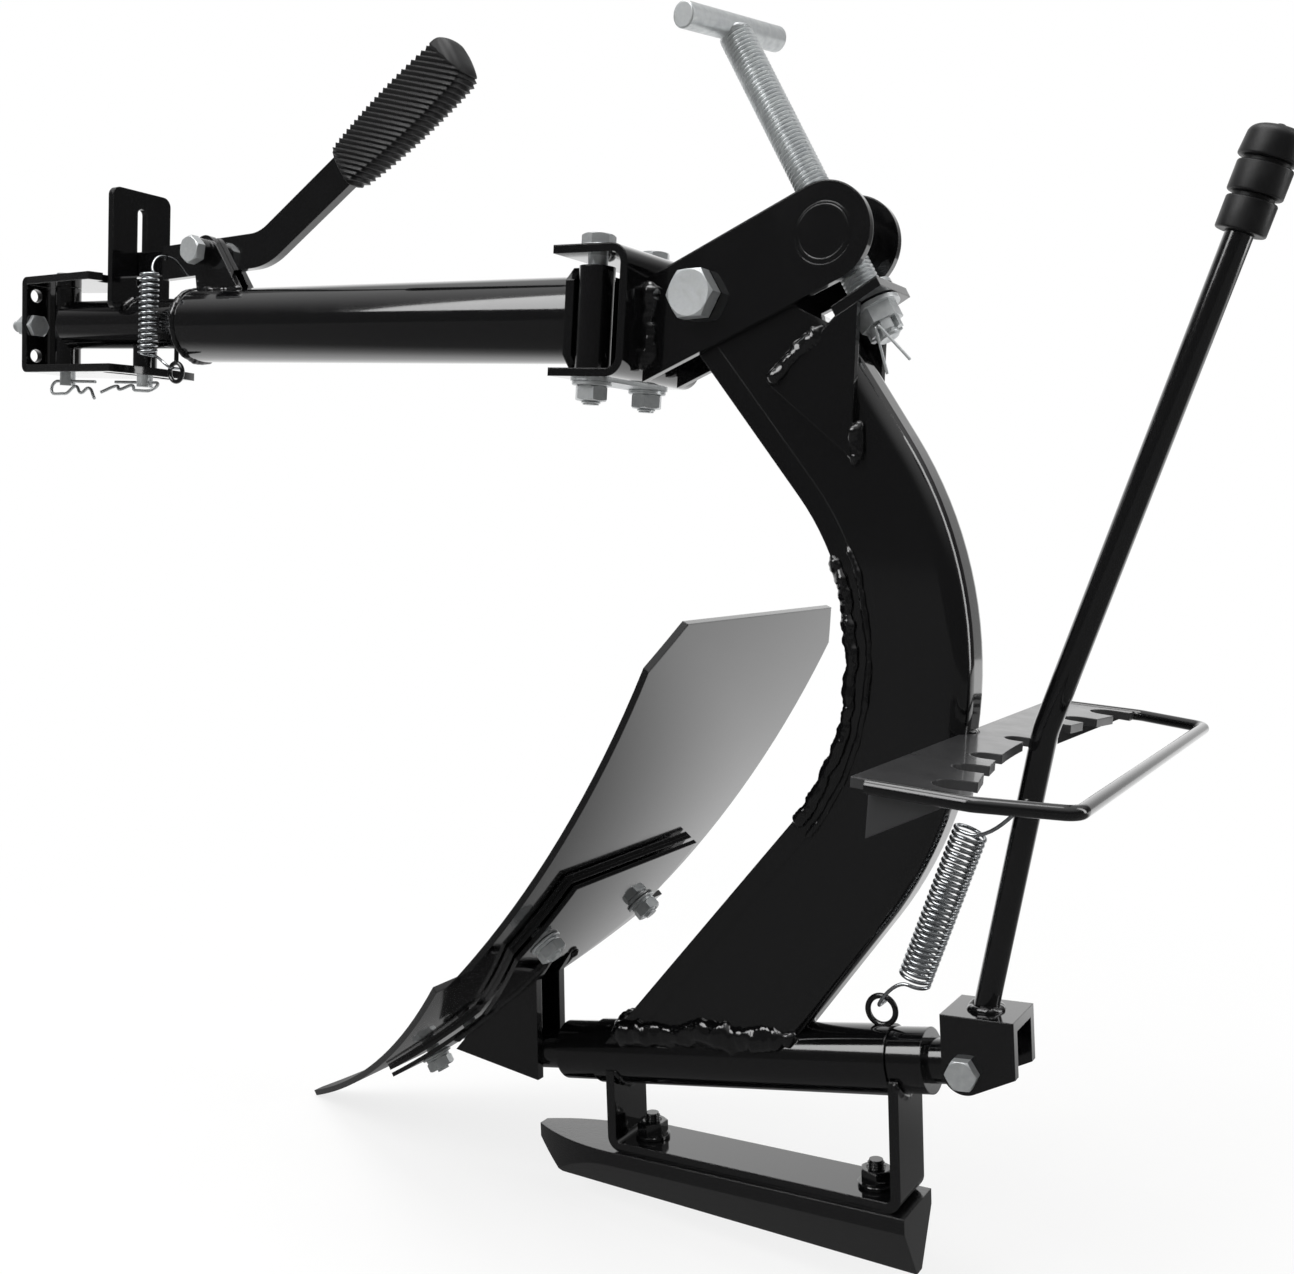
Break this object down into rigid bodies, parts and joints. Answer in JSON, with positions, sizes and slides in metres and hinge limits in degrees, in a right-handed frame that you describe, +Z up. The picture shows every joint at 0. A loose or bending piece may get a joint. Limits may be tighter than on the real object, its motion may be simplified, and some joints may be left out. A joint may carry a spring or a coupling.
{
  "type": "turn-over plough",
  "caption": "Turn-over plough for a walking tractor: swinging drawbar on a notched hitch yoke, depth screw, curved box beam, tilting mouldboard with share, index lever and skid foot.",
  "frame": {"origin": "middle of the hitch yoke's front face, on the drawbar's axis", "axes": "+X rearward along the drawbar, +Y across to the side away from the camera, +Z up"},
  "size_m": [0.963, 0.34, 0.7517],
  "materials": {
    "black_enamel": "gloss black enamel on steel",
    "zinc_plate": "bright zinc plate on steel",
    "moulded_rubber": "matte black moulded rubber",
    "sintered_bush": "plain oil-soaked bronze bush"
  },
  "bodies": {
    "yoke": {"hitch_yoke": "black_enamel", "steady_bolts": "zinc_plate", "steady_nuts": "zinc_plate", "swing_pin": "zinc_plate", "swing_pin_clip": "zinc_plate"},
    "drawbar": {"guide_pin": "zinc_plate", "guide_pin_clip": "zinc_plate", "drawbar_tube": "black_enamel", "drawbar_neck": "black_enamel", "neck_sleeves": "black_enamel", "latch_guide_plate": "black_enamel", "lever_bracket": "black_enamel", "lever_pivot_bolt": "zinc_plate", "latch_spring_eye": "black_enamel", "latch_spring": "zinc_plate", "drawbar_cross_plate": "black_enamel", "hinge_sleeves": "black_enamel", "hinge_bracket": "black_enamel", "hinge_bolts": "zinc_plate", "hinge_lock_plate": "zinc_plate", "drawbar_nuts": "zinc_plate", "hinge_ears": "black_enamel", "pitch_bolt": "zinc_plate", "pitch_nut": "zinc_plate"},
    "latch_lever": {"latch_lever_bar": "black_enamel", "latch_lever_grip": "moulded_rubber"},
    "trunnion": {"trunnion_nut": "black_enamel"},
    "beam": {"beam_front_shell": "black_enamel", "beam_rear_shell": "black_enamel", "beam_bushes": "sintered_bush", "screw_gussets": "black_enamel", "screw_cross_plate": "black_enamel", "index_plate": "black_enamel", "index_tabs": "black_enamel", "lever_guard": "black_enamel", "axle_tube": "black_enamel", "lever_spring_eye": "black_enamel", "lever_spring": "zinc_plate", "foot_strap": "black_enamel", "foot_skid": "black_enamel", "skid_studs": "black_enamel", "skid_nuts": "black_enamel"},
    "screw_seat": {"screw_washers": "zinc_plate"},
    "screw": {"depth_screw": "zinc_plate", "screw_tee": "zinc_plate", "castle_nut": "zinc_plate", "split_pin": "zinc_plate"},
    "plough": {"axle_shaft": "black_enamel", "shaft_collars": "black_enamel", "mouldboard": "black_enamel", "share": "black_enamel", "frog_plate": "black_enamel", "frog_gussets": "black_enamel", "plough_bolts": "zinc_plate", "plough_nuts": "zinc_plate"},
    "rear_lever": {"lever_socket": "black_enamel", "lever_rod": "black_enamel", "lever_knob": "moulded_rubber", "lever_cross_bolt": "zinc_plate", "lever_cross_nut": "zinc_plate"}
  },
  "joints": [
    {"name": "swing", "type": "hinge", "parent": "yoke", "child": "drawbar", "pos_m": [0.026, 0, 0], "axis": [0, 0, 1], "range_deg": [-16, 16]},
    {"name": "latch", "type": "hinge", "parent": "drawbar", "child": "latch_lever", "pos_m": [0.197, 0, 0.053], "axis": [0, 1, 0], "range_deg": [-3.2, 10], "deforming": ["latch_spring"]},
    {"name": "trunnion_turn", "type": "hinge", "parent": "drawbar", "child": "trunnion", "pos_m": [0.706, 0, 0.043], "axis": [0, 1, 0], "range_deg": [-5.4, 5.4]},
    {"name": "pitch", "type": "hinge", "parent": "drawbar", "child": "beam", "pos_m": [0.6296, 0, 0.0105], "axis": [0, 1, 0], "range_deg": [-4, 4]},
    {"name": "seat_tilt", "type": "hinge", "parent": "beam", "child": "screw_seat", "pos_m": [0.72773, 0, 0.00823], "axis": [0, 1, 0], "range_deg": [-1.3, 1.3]},
    {"name": "screw_spin", "type": "hinge", "parent": "screw_seat", "child": "screw", "pos_m": [0.72773, 0, 0.00823], "axis": [0.5299, 0, -0.848], "range_deg": [-830, 830]},
    {"name": "turn_over", "type": "hinge", "parent": "beam", "child": "plough", "pos_m": [0.69601, 0, -0.43871], "axis": [0.9724, 0, 0.2334], "range_deg": [-40, 40], "deforming": ["lever_spring"]},
    {"name": "lever_tilt", "type": "hinge", "parent": "plough", "child": "rear_lever", "pos_m": [0.82242, 0, -0.40836], "axis": [0, 1, 0], "range_deg": [-4, 4], "deforming": ["lever_spring"]}
  ],
  "couplings": [
    {"joint": "screw_spin", "follows": "pitch", "ratio": 206.12},
    {"joint": "seat_tilt", "follows": "pitch", "ratio": 0.31523},
    {"joint": "trunnion_turn", "follows": "pitch", "ratio": 1.3152}
  ]
}
